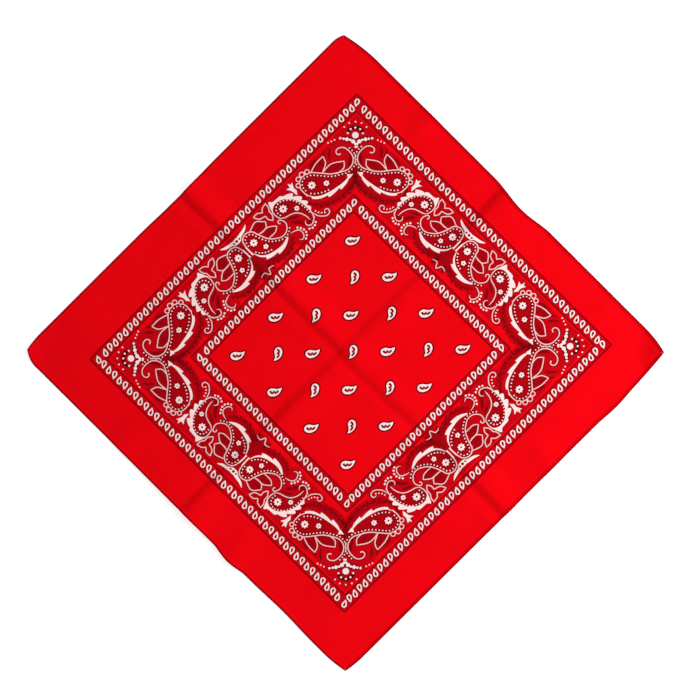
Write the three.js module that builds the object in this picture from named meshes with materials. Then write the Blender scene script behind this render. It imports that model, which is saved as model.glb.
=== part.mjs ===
// A square cotton bandana laid flat with one corner up: a single woven panel and four narrow turned hems.
// Millimetres, +Z up from the surface that the cloth lies on, +X to the right, +Y towards the top corner.
// The cloth was stored folded in four, so two creases cross in the middle. Away from them and from the
// waves of the edges, its underside is flat on the surface.

import * as THREE from 'three';

// The hemmed cloth is a 550 mm square, the usual 22 inch bandana.
const FINISHED_SIDE = 550;
const CLOTH_THICKNESS = 1.2;
const HEM_WIDTH = 4.0;
const HEM_THICKNESS = 1.9;
const HEM_ROUNDING = 0.6;
const SEAM_GAP = 0.3;

// Corner to middle, measured along X or Y. It is less than half of a true diagonal, because the corners
// are drawn in a little, and the sides belly out between them.
const CORNER_REACH = 382;
const CORNERS = {
  top: { x: -1.8, y: CORNER_REACH },
  right: { x: CORNER_REACH, y: 0.6 },
  bottom: { x: 0, y: -CORNER_REACH },
  left: { x: -CORNER_REACH, y: 4.2 },
};

// Positions on the cloth are given as "across", growing towards the lower right side, and "along", growing
// towards the upper right side, both in millimetres from the middle.

// Each side's belly beyond the straight line between its corners, next to its first and its last corner.
// Runs are the shares of the side over which it swells there.
const SIDES = {
  upper_right: { from: 'top', to: 'right', firstOut: 6.5, lastOut: 5.6, firstRun: 0.10, lastRun: 0.07 },
  lower_right: { from: 'bottom', to: 'right', firstOut: 2.8, lastOut: 5.2, firstRun: 0.05, lastRun: 0.14 },
  lower_left: { from: 'left', to: 'bottom', firstOut: 8.0, lastOut: 3.6, firstRun: 0.04, lastRun: 0.06 },
  upper_left: { from: 'left', to: 'top', firstOut: 2.9, lastOut: 3.8, firstRun: 0.05, lastRun: 0.03 },
};

// Dents and kinks of the edge, where a fold or wave runs out over it. Share and halfWidth are parts of the
// side's length, and shift is outwards.
const EDGE_DENTS = [
  { side: 'upper_right', share: 0.550, halfWidth: 0.085, shift: -4.9 },
  { side: 'lower_right', share: 0.840, halfWidth: 0.060, shift: 1.5 },
  { side: 'lower_left', share: 0.643, halfWidth: 0.050, shift: 3.0 },
  { side: 'lower_left', share: 0.810, halfWidth: 0.090, shift: -1.2 },
  { side: 'upper_left', share: 0.480, halfWidth: 0.120, shift: -1.2 },
];

// The two creases of a cloth stored folded in four. Each stands as a low ridge at its crest, steep on the
// flank towards smaller values of its axis and gentle on the other. Heights are read down the crease.
const CREASES = [
  {
    // From the lower left side to the upper right one.
    axis: 'across',
    crest: 3.6,
    steepFlank: 13,
    gentleFlank: 36,
    shoulder: 0,
    rows: [
      { place: -275, height: 3.0 },
      { place: -190, height: 2.9 },
      { place: -90, height: 2.6 },
      { place: 0, height: 1.7 },
      { place: 90, height: 1.5 },
      { place: 275, height: 3.0 },
    ],
  },
  {
    // From the upper left side to the lower right one.
    axis: 'along',
    crest: 4.0,
    steepFlank: 13,
    gentleFlank: 30,
    shoulder: 0.6,
    rows: [
      { place: -275, height: 3.9 },
      { place: -120, height: 3.4 },
      { place: 0, height: 2.4 },
      { place: 120, height: 2.2 },
      { place: 275, height: 2.8 },
    ],
  },
];
// The little shoulder at the foot of a steep flank.
const SHOULDER_WIDTH = 13;

// Waves of the edges and curls of the corners, each a soft mound that reaches so far either way.
const WAVES = [
  { name: 'wave at the dent', across: 32, along: 275, reachAcross: 44, reachAlong: 80, height: 2.6 },
  { name: 'wave at the kink', across: 78, along: -275, reachAcross: 26, reachAlong: 62, height: 2.4 },
  { name: 'swell at the crease', across: 6, along: -280, reachAcross: 140, reachAlong: 120, height: 3.4 },
  { name: 'lower left ripple', across: -108, along: -272, reachAcross: 26, reachAlong: 70, height: 1.2 },
  { name: 'upper right wrinkle', across: -125, along: 272, reachAcross: 24, reachAlong: 46, height: 1.6 },
  { name: 'lower right wrinkle', across: 264, along: 81, reachAcross: 46, reachAlong: 24, height: 1.5 },
  { name: 'right corner curl', across: 278, along: 278, reachAcross: 44, reachAlong: 44, height: 5.0 },
  { name: 'left corner lift', across: -278, along: -278, reachAcross: 36, reachAlong: 36, height: 1.6 },
];

// Rows of the woven panel stand close together at the creases and further apart away from them.
const FINEST_STEP = 5;
const WIDEST_STEP = 17;
const STEP_GROWTH = 1.22;
const CORNER_STEP = 8;

const RED_COTTON = 0xe0061a;
const HEM_RED = 0xb8000f;
const COTTON_ROUGHNESS = 0.92;

const HALF_SIDE = FINISHED_SIDE / 2;
const HEM_INNER_LINE = HALF_SIDE - HEM_WIDTH;
const PANEL_EDGE = HEM_INNER_LINE - SEAM_GAP;

// Rises from 0 at 0 to 1 at 1 and stays there.
function swell(x) {
  const rest = 1 - THREE.MathUtils.clamp(x, 0, 1);
  return 1 - rest * rest;
}

// A smooth mound, 1 in the middle and 0 from a distance of 1 outwards.
function mound(distance) {
  const rest = Math.max(0, 1 - distance * distance);
  return rest * rest;
}

// A height read from a table whose rows are ordered by place, eased from row to row.
function tableHeight(rows, place) {
  const next = rows.findIndex((row) => row.place >= place);
  if (next === 0) return rows[0].height;
  if (next < 0) return rows[rows.length - 1].height;
  const before = rows[next - 1];
  const after = rows[next];
  const share = THREE.MathUtils.smoothstep(place, before.place, after.place);
  return THREE.MathUtils.lerp(before.height, after.height, share);
}

// A point of a side's edge, at a share of its length.
function edgePoint(sideName, share) {
  const side = SIDES[sideName];
  const from = CORNERS[side.from];
  const to = CORNERS[side.to];
  const middle = new THREE.Vector2((from.x + to.x) / 2, (from.y + to.y) / 2);
  const chord = new THREE.Vector2(to.x - from.x, to.y - from.y);
  const outwards = new THREE.Vector2(chord.y, -chord.x).normalize();
  if (outwards.dot(middle) < 0) outwards.negate();
  let belly = THREE.MathUtils.lerp(side.firstOut, side.lastOut, share);
  belly *= swell(share / side.firstRun) * swell((1 - share) / side.lastRun);
  for (const dent of EDGE_DENTS) {
    if (dent.side === sideName) belly += dent.shift * mound((share - dent.share) / dent.halfWidth);
  }
  return new THREE.Vector2(from.x, from.y).addScaledVector(chord, share).addScaledVector(outwards, belly);
}

// Where a point of the flat square lies on the surface: the four edges blended over the cloth.
function laidPoint(across, along) {
  const s = (across + HALF_SIDE) / FINISHED_SIDE;
  const t = (along + HALF_SIDE) / FINISHED_SIDE;
  const point = new THREE.Vector2();
  point.addScaledVector(edgePoint('lower_left', s), 1 - t);
  point.addScaledVector(edgePoint('upper_right', s), t);
  point.addScaledVector(edgePoint('upper_left', t), 1 - s);
  point.addScaledVector(edgePoint('lower_right', t), s);
  const corners = [
    { corner: 'left', weight: (1 - s) * (1 - t) },
    { corner: 'bottom', weight: s * (1 - t) },
    { corner: 'top', weight: (1 - s) * t },
    { corner: 'right', weight: s * t },
  ];
  for (const { corner, weight } of corners) point.addScaledVector(CORNERS[corner], -weight);
  return point;
}

// A crease's ridge is rounded at the crest and runs out flat on both flanks.
function creaseHeight(crease, across, along) {
  const [over, down] = crease.axis === 'across' ? [across, along] : [along, across];
  const offset = over - crease.crest;
  const flank = offset < 0 ? crease.steepFlank : crease.gentleFlank;
  const beyondFoot = (offset + crease.steepFlank + SHOULDER_WIDTH) / SHOULDER_WIDTH;
  return tableHeight(crease.rows, down) * mound(offset / flank) + crease.shoulder * mound(beyondFoot);
}

// How high the underside of the cloth stands above the surface.
function clothHeight(across, along) {
  let height = 0;
  for (const crease of CREASES) height += creaseHeight(crease, across, along);
  for (const wave of WAVES) {
    const farAcross = (across - wave.across) / wave.reachAcross;
    const farAlong = (along - wave.along) / wave.reachAlong;
    height += wave.height * mound(Math.hypot(farAcross, farAlong));
  }
  return height;
}

// A point of the cloth in space, at a height above its underside.
function clothPoint(across, along, above) {
  const laid = laidPoint(across, along);
  return new THREE.Vector3(laid.x, laid.y, clothHeight(across, along) + above);
}

// Places of the rows from one side of the panel to the other: one in the crest of the crease, steps that
// widen away from it, and a narrow last step that follows the corners.
function rowPlaces(crest) {
  const places = [crest];
  for (const edge of [-PANEL_EDGE, PANEL_EDGE]) {
    const lastRow = edge - Math.sign(edge) * CORNER_STEP;
    const room = Math.abs(lastRow - crest);
    const steps = [];
    let reached = 0;
    for (let step = FINEST_STEP; reached + step < room; step = Math.min(step * STEP_GROWTH, WIDEST_STEP)) {
      steps.push(step);
      reached += step;
    }
    let place = crest;
    for (const step of steps) {
      place += Math.sign(edge) * step * room / reached;
      places.push(place);
    }
    places.push(edge);
  }
  return places.sort((a, b) => a - b);
}

function meshOf(name, points, triangles, color) {
  const geometry = new THREE.BufferGeometry().setFromPoints(points);
  geometry.setIndex(triangles);
  geometry.computeVertexNormals();
  const material = new THREE.MeshStandardMaterial({ color, roughness: COTTON_ROUGHNESS, metalness: 0 });
  const mesh = new THREE.Mesh(geometry, material);
  mesh.name = name;
  return mesh;
}

// The woven panel: an upper and a lower grid of points, joined around the edge.
function makePanel(acrossRows, alongRows) {
  const points = [];
  for (const above of [0, CLOTH_THICKNESS]) {
    for (const along of alongRows) {
      for (const across of acrossRows) points.push(clothPoint(across, along, above));
    }
  }
  const columns = acrossRows.length;
  const layer = columns * alongRows.length;
  const lower = (i, j) => j * columns + i;
  const upper = (i, j) => layer + lower(i, j);
  const triangles = [];
  for (let j = 0; j + 1 < alongRows.length; j += 1) {
    for (let i = 0; i + 1 < columns; i += 1) {
      triangles.push(upper(i, j), upper(i + 1, j), upper(i + 1, j + 1));
      triangles.push(upper(i, j), upper(i + 1, j + 1), upper(i, j + 1));
      triangles.push(lower(i, j), lower(i + 1, j + 1), lower(i + 1, j));
      triangles.push(lower(i, j), lower(i, j + 1), lower(i + 1, j + 1));
    }
  }
  const lastColumn = columns - 1;
  const lastRow = alongRows.length - 1;
  const rim = [];
  for (let i = 0; i < lastColumn; i += 1) rim.push([i, 0]);
  for (let j = 0; j < lastRow; j += 1) rim.push([lastColumn, j]);
  for (let i = lastColumn; i > 0; i -= 1) rim.push([i, lastRow]);
  for (let j = lastRow; j > 0; j -= 1) rim.push([0, j]);
  rim.forEach((here, k) => {
    const next = rim[(k + 1) % rim.length];
    triangles.push(lower(...here), lower(...next), upper(...next));
    triangles.push(lower(...here), upper(...next), upper(...here));
  });
  return meshOf('panel', points, triangles, RED_COTTON);
}

// A turned hem's section, from the seam with the panel (out 0) to the folded edge (out HEM_WIDTH), going
// round so that its inside is on the left.
const HEM_SECTION = [
  { out: 0, above: 0 },
  { out: HEM_WIDTH - HEM_ROUNDING, above: 0 },
  { out: HEM_WIDTH, above: HEM_THICKNESS / 2 },
  { out: HEM_WIDTH - HEM_ROUNDING, above: HEM_THICKNESS },
  { out: HEM_ROUNDING, above: HEM_THICKNESS },
  { out: 0, above: CLOTH_THICKNESS },
];

// Each hem runs down one axis of the cloth, on the side of the other axis that its sign gives.
const HEMS = [
  { name: 'hem_upper_right', axis: 'across', sign: 1 },
  { name: 'hem_lower_right', axis: 'along', sign: 1 },
  { name: 'hem_lower_left', axis: 'across', sign: -1 },
  { name: 'hem_upper_left', axis: 'along', sign: -1 },
];

// One hem, with a section at each row of the panel. The ends are mitred, half a seam gap back from the line
// between two hems.
function makeHem({ name, axis, sign }, rows) {
  const runsAcross = axis === 'across';
  const mitreGap = SEAM_GAP / Math.SQRT2;
  const places = [-Infinity, ...rows.slice(1, -1), Infinity];
  const points = [];
  for (const place of places) {
    for (const { out, above } of HEM_SECTION) {
      const far = HEM_INNER_LINE + out;
      const near = THREE.MathUtils.clamp(place, mitreGap - far, far - mitreGap);
      const point = runsAcross ? clothPoint(near, sign * far, above) : clothPoint(sign * far, near, above);
      points.push(point);
    }
  }
  const facesOut = runsAcross === sign > 0;
  const triangles = [];
  const face = (a, b, c) => triangles.push(a, facesOut ? c : b, facesOut ? b : c);
  const corners = HEM_SECTION.length;
  for (let k = 0; k + 1 < places.length; k += 1) {
    for (let c = 0; c < corners; c += 1) {
      const here = k * corners + c;
      const beside = k * corners + (c + 1) % corners;
      face(here, here + corners, beside + corners);
      face(here, beside + corners, beside);
    }
  }
  const lastRing = (places.length - 1) * corners;
  for (let c = 1; c + 1 < corners; c += 1) {
    face(0, c, c + 1);
    face(lastRing, lastRing + c + 1, lastRing + c);
  }
  return meshOf(name, points, triangles, HEM_RED);
}

const [acrossRows, alongRows] = CREASES.map((crease) => rowPlaces(crease.crest));

const bandana = new THREE.Group();
bandana.add(makePanel(acrossRows, alongRows));
for (const hem of HEMS) bandana.add(makeHem(hem, hem.axis === 'across' ? acrossRows : alongRows));

export default bandana;
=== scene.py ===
"""A red cotton bandana with a paisley border print, laid flat with one corner up.

Laid out as an add-on: its sizes and colours are scene properties, and each piece has an operator of its own.
"""
import math

import bpy
import numpy as np
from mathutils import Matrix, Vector, kdtree, noise
from mathutils.geometry import delaunay_2d_cdt


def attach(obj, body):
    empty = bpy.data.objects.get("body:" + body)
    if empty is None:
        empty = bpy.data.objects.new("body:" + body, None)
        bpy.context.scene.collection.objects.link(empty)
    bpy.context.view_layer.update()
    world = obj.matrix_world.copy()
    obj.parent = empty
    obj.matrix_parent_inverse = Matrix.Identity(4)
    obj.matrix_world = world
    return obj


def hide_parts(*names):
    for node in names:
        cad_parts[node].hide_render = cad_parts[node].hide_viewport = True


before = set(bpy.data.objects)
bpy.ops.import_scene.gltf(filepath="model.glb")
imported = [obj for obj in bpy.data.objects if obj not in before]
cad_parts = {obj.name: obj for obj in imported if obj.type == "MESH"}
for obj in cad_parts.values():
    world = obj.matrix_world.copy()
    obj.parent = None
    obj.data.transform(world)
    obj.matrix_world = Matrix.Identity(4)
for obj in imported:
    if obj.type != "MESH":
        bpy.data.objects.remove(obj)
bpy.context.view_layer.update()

bl_info = {
    "name": "Laid bandana",
    "version": (1, 0, 0),
    "blender": (4, 5, 0),
    "location": "View3D > Sidebar > Bandana",
    "description": "Builds a printed cotton bandana laid flat, with its hems, stitching and studio",
    "category": "Add Mesh",
}

# Sizes are in millimetres, apart from the studio's.
MM = 0.001

# The laid shape of the cloth, in the same sizes as the solids. "Across" grows towards the lower right side
# and "along" towards the upper right side, in millimetres from the middle.
CORNER_REACH = 382
CORNERS = {
    "top": (-1.8, CORNER_REACH),
    "right": (CORNER_REACH, 0.6),
    "bottom": (0, -CORNER_REACH),
    "left": (-CORNER_REACH, 4.2),
}
# How far each side bellies out near its two ends, and over what shares of its length it gets there.
SIDES = {
    "upper_right": {"ends": ("top", "right"), "out": (6.5, 5.6), "run": (0.10, 0.07)},
    "lower_right": {"ends": ("bottom", "right"), "out": (2.8, 5.2), "run": (0.05, 0.14)},
    "lower_left": {"ends": ("left", "bottom"), "out": (8.0, 3.6), "run": (0.04, 0.06)},
    "upper_left": {"ends": ("left", "top"), "out": (2.9, 3.8), "run": (0.05, 0.03)},
}
# Where an edge gives way: the side, how far down it and how wide either way, as shares, and how far outwards.
EDGE_DENTS = (
    ("upper_right", 0.550, 0.085, -4.9),
    ("lower_right", 0.840, 0.060, 1.5),
    ("lower_left", 0.643, 0.050, 3.0),
    ("lower_left", 0.810, 0.090, -1.2),
    ("upper_left", 0.480, 0.120, -1.2),
)
# The two folds that the cloth was stored in, one over each direction, with their heights at some places.
CREASES = (
    {"over": 0, "crest": 3.6, "steep": 13, "gentle": 36, "shoulder": 0.0,
     "places": (-275, -190, -90, 0, 90, 275), "heights": (3.0, 2.9, 2.6, 1.7, 1.5, 3.0)},
    {"over": 1, "crest": 4.0, "steep": 13, "gentle": 30, "shoulder": 0.6,
     "places": (-275, -120, 0, 120, 275), "heights": (3.9, 3.4, 2.4, 2.2, 2.8)},
)
SHOULDER_WIDTH = 13
# The waves of the laid cloth: place, reach both ways, and height.
WAVES = (
    ((32, 275), (44, 80), 2.6),
    ((78, -275), (26, 62), 2.4),
    ((6, -280), (140, 120), 3.4),
    ((-108, -272), (26, 70), 1.2),
    ((-125, 272), (24, 46), 1.6),
    ((264, 81), (46, 24), 1.5),
    ((278, 278), (44, 44), 5.0),
    ((-278, -278), (36, 36), 1.6),
)
# Soft cotton's rumples: how high, how wide, and which layer of the noise they come from. They are lifted, so
# that the cloth lies flat only in their lowest places, and lowered to a share of their height.
RUMPLES = ((0.55, 58, 3.1), (0.24, 21, 7.7), (0.10, 9, 1.3))
RUMPLE_LIFT = 0.32
RUMPLE_SHARE = 0.9

# The finished edge. The panel reaches a little under the hem, and two hems leave a hair's gap at a mitre. A
# turned hem's section says how far out, how high, and how much painted shade it has, darkest at the fold.
HEM_WIDTH = 4.0
HEM_TOP = 0.8
HEM_STEP = 2.2
SEAM_OVERLAP = 0.5
MITRE_GAP = 0.05
HEM_SECTION = (
    (0.0, 0.1, 0.0), (HEM_WIDTH - 0.7, 0.0, 0.6), (HEM_WIDTH - 0.15, 0.2, 1.0), (HEM_WIDTH, 0.4, 1.0),
    (HEM_WIDTH - 0.1, 0.65, 1.0), (HEM_WIDTH - 0.5, HEM_TOP, 1.0), (HEM_WIDTH - 1.3, HEM_TOP, 0.95),
    (HEM_WIDTH - 2.2, HEM_TOP, 0.38), (HEM_WIDTH - 3.0, HEM_TOP, 0.14), (0.15, HEM_TOP - 0.05, 0.05),
    (0.0, HEM_TOP - 0.22, 0.0),
)
# The side that each hem is on: which direction it lies out in, across (0) or along (1), and at which end.
HEMS = {"upper_right": (1, 1), "lower_right": (0, 1), "lower_left": (1, -1), "upper_left": (0, -1)}
# The puckers along a hem: how high, how long and how far on they start. Only its upper layer has them.
PUCKERS = ((0.06, 5.3, 0.0), (0.07, 8.9, 1.1))
PUCKER_ABOVE = 0.6
# The seam lies so far in from the edge. A stitch fills a share of its length and is wider than it is high.
SEAM_IN = 2.7
SEAM_END = 1.0
STITCH_FILL = 0.8
STITCH_FLATNESS = 1.3
STITCH_SINK = 0.02
# The loose end of thread at the bottom corner: how far right, how far up and how high, from the corner.
TAIL = ((-1.6, 1.6, 1.3), (-0.6, 0.2, 1.5), (0.4, -1.4, 1.1), (1.7, -2.3, 0.7), (2.6, -1.8, 0.5))

# The steps of the drawn cloth: the woven ground, the underside, the finer rows over a crease, and the edge.
GROUND_STEP = 4.6
UNDER_STEP = 4.4
CREASE_STEP = 1.8
CREASE_REACH = 16
EDGE_STEP = 4.0
# How near a point of the ground may come to the print, and, as a share of its step, to the edge.
CLEAR_OF_PRINT = 1.1
CLEAR_OF_EDGE = 0.6
# Points of the print that lie closer than this become one.
MERGE = 0.01
# How strongly the print shows on the reverse, and how far it is blurred there.
SHOW_THROUGH = 0.3
SHOW_CELL = 4.0
# The share of the bake's picture that each face of the cloth takes, and where it starts.
BAKE_TOP = (0.78, 0.004)
BAKE_UNDER = (0.2, 0.795)

# The print's frame lines, as half widths from its middle. The border is longer along than across.
PRINT_MIDDLE = (2.6, 5.1)
OUTER_FRAME = (214.9, 226.4)
OUTER_FRAME_INSIDE = (200.6, 211.1)
INNER_FRAME = (131.5, 138.5)
INNER_FRAME_INSIDE = (117.5, 123.3)
FRAME_LINE = 1.8
FRAME_STEP = 9
# The rows of drops between the frame lines. A drop leans, and its pointed end is shifted a little.
DROP_SIZE = (10.4, 7.1)
DROP_RING = 2.15
DROP_PITCH = 8.85
DROP_ROW_IN = 7.5
DROP_LEAN = 0.46
DROP_CORNER_GAP = 11.8
DROP_TIP_SHIFT = 0.15
# Where the border starts inside its frame, the middle of a side, and the grid of the middle field's drops.
BORDER_STARTS = (2.3, 2.9)
MID_SIDE = 212.6
FIELD_PITCH = (61.7, 65.1)
WIDE_SHIFT = (-0.75, -0.2)
TALL_SHIFT = (1.1, 3.5)

# How far the laid cloth has drawn the print away from a true rectangle, at its corners and side middles.
CORNER_PULL = {"top": (2.0, -2.0), "right": (1.3, 1.6), "bottom": (1.9, 0.3), "left": (0.4, -1.3)}
SIDE_PULL = {"upper_right": (1.0, 0), "lower_right": (0, -0.6), "lower_left": (1.9, 0),
             "upper_left": (-2.0, -1.4)}

# Inks, in the order in which they are laid on, after bare cotton. Each is a mix of undyed white, black and
# hatched red. Thin white lines are pinker, because the red has run into them.
CRIMSON, DEEP, EDGE, BLACK, DEEP_OVER, THIN_WHITE, WHITE, RED_OVER, EDGE_OVER, BLACK_OVER = range(1, 11)
INK_MIXES = (
    (0, 0, 0), (0, 0, 1), (0, 0.32, 1), (0, 0.66, 1), (0, 1, 0),
    (0, 0.42, 1), (0.72, 0, 0), (1, 0, 0), (0, 0.25, 1), (0, 0.7, 1), (0, 1, 0),
)
# The width of a thin line, the black beside it, the radius and pitch of its dots, and the steps of a curve.
LINE = 1.35
HALO = 1.15
DOT = 0.9
DOT_PITCH = 4.0
CURVE_STEP = 1.7

# Sizes of the finishes' patterns. The real threads lie about 0.35 mm apart, which is too fine to show, so
# the weave is drawn coarser, and so are the slubs, which are a thread wide, and the grain of the hatching.
WEAVE = 0.9
WEAVE_DEPTH = 0.12
SLUB_LENGTH = 25
SLUB_WIDTH = 1.111
DYE_PATCH = 71.4
HATCH_GRAIN = 1.613
# How many bands a wave texture has in a unit at scale 1, and the setting of a mix of two colours.
BANDS_A_UNIT = 3.1831
OF_COLOURS = {"data_type": "RGBA"}

# The studio, in metres.
FLOOR_SIZE = 8
FLOOR_UNDER = 0.0002
FLOOR_GLOW = 0.6
LAMP_SIZE = 0.8
LAMP_PLACE = (2.4, -0.05, 1.35)
WALL_LIGHT = 0.45
CAMERA_LENS = 85
CAMERA_AIM = (0.0054, 0.0036)
CAMERA_FIELD = 0.841
CAMERA_REACH = 50


def linear(hex_colour):
    """An sRGB hex colour as linear RGBA."""
    parts = [int(hex_colour[k:k + 2], 16) / 255 for k in (1, 3, 5)]
    return tuple(c / 12.92 if c <= 0.04045 else ((c + 0.055) / 1.055) ** 2.4 for c in parts) + (1.0,)


class BandanaSizes(bpy.types.PropertyGroup):
    """Sizes of the cloth and its sewing"""
    finished_side: bpy.props.FloatProperty(
        name="Finished side", description="Side of the hemmed cloth", default=550 * MM, unit="LENGTH")
    cloth_thickness: bpy.props.FloatProperty(
        name="Cloth thickness", description="Thickness of the woven cotton", default=0.4 * MM, unit="LENGTH")
    stitch_length: bpy.props.FloatProperty(
        name="Stitch length", description="Length of one lockstitch", default=3.0 * MM, unit="LENGTH")
    thread: bpy.props.FloatProperty(
        name="Thread", description="Diameter of the sewing thread", default=0.45 * MM, unit="LENGTH")


class BandanaColours(bpy.types.PropertyGroup):
    """Colours of the cloth and its print"""
    dye: bpy.props.FloatVectorProperty(
        name="Dye", description="Red of the dyed cotton", default=linear("#E8000C"), size=4, subtype="COLOR")
    crimson: bpy.props.FloatVectorProperty(
        name="Hatched ground", description="Red between the motifs, darkened by fine black hatching",
        default=linear("#B2000F"), size=4, subtype="COLOR")
    white: bpy.props.FloatVectorProperty(
        name="White", description="Undyed cotton", default=linear("#FFDCDA"), size=4, subtype="COLOR")
    black: bpy.props.FloatVectorProperty(
        name="Black", description="Black on the red", default=linear("#5A0006"), size=4, subtype="COLOR")
    # Painted shade: the hem's deeper red darkens the turned cloth towards its fold, where the turn is shaded.
    # The sewing thread mixes in a little of it as its own deeper red.
    hem: bpy.props.FloatVectorProperty(
        name="Hem", description="Red of the folded edge", default=linear("#8C000C"), size=4, subtype="COLOR")


class BandanaStudio(bpy.types.PropertyGroup):
    """Light and floor of the studio"""
    soft_light: bpy.props.FloatProperty(
        name="Soft light", description="Power of the large soft light", default=92.0, unit="POWER")
    floor_grey: bpy.props.FloatProperty(
        name="Floor", description="How pale the floor is", default=0.80, subtype="FACTOR", min=0, max=1)


def add_node(tree, kind, sockets, **settings):
    """Adds a node with its settings, and with a value or a link for each socket by its name or number."""
    node = tree.nodes.new(kind)
    for name, value in settings.items():
        setattr(node, name, value)
    for socket, value in sockets.items():
        if isinstance(value, bpy.types.NodeSocket):
            tree.links.new(value, node.inputs[socket])
        else:
            node.inputs[socket].default_value = value
    return node


# The cloth's form.


def swell(x):
    """Rises from 0 to 1, and ever more gently."""
    return 1 - (1 - np.clip(x, 0, 1)) ** 2


def mound(distance):
    """A round hill, 1 high, that ends where the distance is 1."""
    return np.maximum(0, 1 - distance * distance) ** 2


def eased(place, places, heights):
    """Heights that pass smoothly from one given place to the next."""
    k = np.clip(np.searchsorted(places, place) - 1, 0, len(places) - 2)
    places, heights = np.array(places, float), np.array(heights, float)
    share = np.clip((place - places[k]) / (places[k + 1] - places[k]), 0, 1)
    share = share * share * (3 - 2 * share)
    return heights[k] + (heights[k + 1] - heights[k]) * share


def edge_point(name, share):
    """Where the cloth's edge lies on the surface, at shares of a side's length."""
    side = SIDES[name]
    start, end = (np.array(CORNERS[c], float) for c in side["ends"])
    chord = end - start
    outwards = np.array([chord[1], -chord[0]]) / np.linalg.norm(chord)
    if outwards @ (start + end) < 0:
        outwards = -outwards
    first, last = side["out"]
    belly = first + (last - first) * share
    belly = belly * swell(share / side["run"][0]) * swell((1 - share) / side["run"][1])
    for dented, middle, half_width, shift in EDGE_DENTS:
        if dented == name:
            belly = belly + shift * mound((share - middle) / half_width)
    return start + chord * share[:, None] + outwards * belly[:, None]


def laid_place(across, along, side):
    """Where points of the flat square lie on the surface: its four edges blended over the cloth."""
    s, t = (across / side + 0.5)[:, None], (along / side + 0.5)[:, None]
    s1, t1 = s[:, 0], t[:, 0]
    place = edge_point("lower_left", s1) * (1 - t) + edge_point("upper_right", s1) * t
    place = place + edge_point("upper_left", t1) * (1 - s) + edge_point("lower_right", t1) * s
    weights = {"left": (1 - s) * (1 - t), "bottom": s * (1 - t), "top": (1 - s) * t, "right": s * t}
    for corner, weight in weights.items():
        place = place - np.array(CORNERS[corner], float) * weight
    return place


def cloth_height(across, along):
    """How high the underside stands above the surface."""
    places = (across, along)
    height = np.zeros(len(across))
    for crease in CREASES:
        offset = places[crease["over"]] - crease["crest"]
        flank = np.where(offset < 0, crease["steep"], crease["gentle"])
        row = eased(places[1 - crease["over"]], crease["places"], crease["heights"])
        foot = (offset + crease["steep"] + SHOULDER_WIDTH) / SHOULDER_WIDTH
        height = height + row * mound(offset / flank) + crease["shoulder"] * mound(foot)
    for place, reach, rise in WAVES:
        far = np.hypot((across - place[0]) / reach[0], (along - place[1]) / reach[1])
        height = height + rise * mound(far)
    return height


def fine_relief(across, along):
    """The small unevenness of soft cotton. The cloth lies on the surface where the rumples are lowest."""
    relief = [sum(rise * noise.noise(Vector((a / wide, b / wide, layer))) for rise, wide, layer in RUMPLES)
              for a, b in zip(across, along)]
    return np.maximum(np.array(relief) + RUMPLE_LIFT, 0) * RUMPLE_SHARE


def flat_place(laid, side):
    """The place on the flat cloth of a point that lies there, in millimetres across and along."""
    flat = np.array(laid, float)
    for _ in range(4):  # Each round brings it closer, and the fourth no longer shows.
        x, y = laid_place(flat[:, 0], flat[:, 1], side).T
        flat += laid - np.stack([x - y, x + y], 1) / math.sqrt(2)
    return flat


def cloth_points(flat, side, above):
    """The places in space, in metres, of flat places that lie so far above the cloth's underside."""
    across, along = flat.T
    height = cloth_height(across, along) + above + fine_relief(across, along)
    return np.column_stack([laid_place(across, along, side), height]) * MM


# Drawing helpers for the print.


def smooth(points, closed=False, step=CURVE_STEP):
    """A smooth line through given points, some of which may be runs of points."""
    p = np.vstack(points).astype(float)
    p = np.vstack([p[-1], p, p[0], p[1]] if closed else [2 * p[0] - p[1], p, 2 * p[-1] - p[-2]])
    line = []
    for a, b, c, d in zip(p[:-3], p[1:-2], p[2:-1], p[3:]):
        n = max(1, round(float(np.linalg.norm(c - b)) / step))
        t = np.linspace(0, 1, n, endpoint=False)[:, None]
        curve = 2 * b + (c - a) * t + (2 * a - 5 * b + 4 * c - d) * t**2 + (3 * b - a - 3 * c + d) * t**3
        line.append(0.5 * curve)
    if not closed:
        line.append(p[-2][None])
    return np.vstack(line)


def arc(centre, radius, start, end, end_radius=None, steps=5):
    """Points of an arc or a spiral, with angles in degrees from the direction of the row, turning inwards."""
    a = np.radians(np.linspace(start, end, steps))
    r = np.linspace(radius, end_radius or radius, steps)
    return np.stack([centre[0] + r * np.cos(a), centre[1] + r * np.sin(a)], 1)


def leftwards(line):
    """The direction to the left of a line at each of its points."""
    along = np.gradient(line, axis=0)
    along /= np.maximum(np.linalg.norm(along, axis=1), 1e-9)[:, None]
    return np.stack([-along[:, 1], along[:, 0]], 1)


def lengths(line):
    return np.concatenate([[0], np.cumsum(np.linalg.norm(np.diff(line, axis=0), axis=1))])


def at(line, places):
    s = lengths(line)
    return np.stack([np.interp(places, s, line[:, k]) for k in (0, 1)], 1)


def band(line, width, taper=(0.45, 0.45), run=5.0):
    """The outline of a line of ink, whose ends are so many times its width."""
    s = lengths(line)
    from_start = taper[0] + (1 - taper[0]) * np.minimum(s / run, 1)
    from_end = taper[1] + (1 - taper[1]) * np.minimum((s[-1] - s) / run, 1)
    left = leftwards(line) * (width / 2 * from_start * from_end)[:, None]
    return np.vstack([line + left, (line - left)[::-1]])


def disc(centre, radius, sides=8):
    a = np.linspace(0, 2 * math.pi, sides, endpoint=False)
    return np.asarray(centre, float) + radius * np.stack([np.cos(a), np.sin(a)], 1)


def grow(loop, by):
    """An outline moved outwards, or inwards where by is negative."""
    loop = np.asarray(loop, float)
    following = np.roll(loop, -1, 0)
    along = following - np.roll(loop, 1, 0)
    along /= np.maximum(np.linalg.norm(along, axis=1), 1e-9)[:, None]
    turning = np.sum(loop[:, 0] * following[:, 1] - loop[:, 1] * following[:, 0])
    return loop - np.stack([-along[:, 1], along[:, 0]], 1) * by * np.sign(turning)


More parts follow.
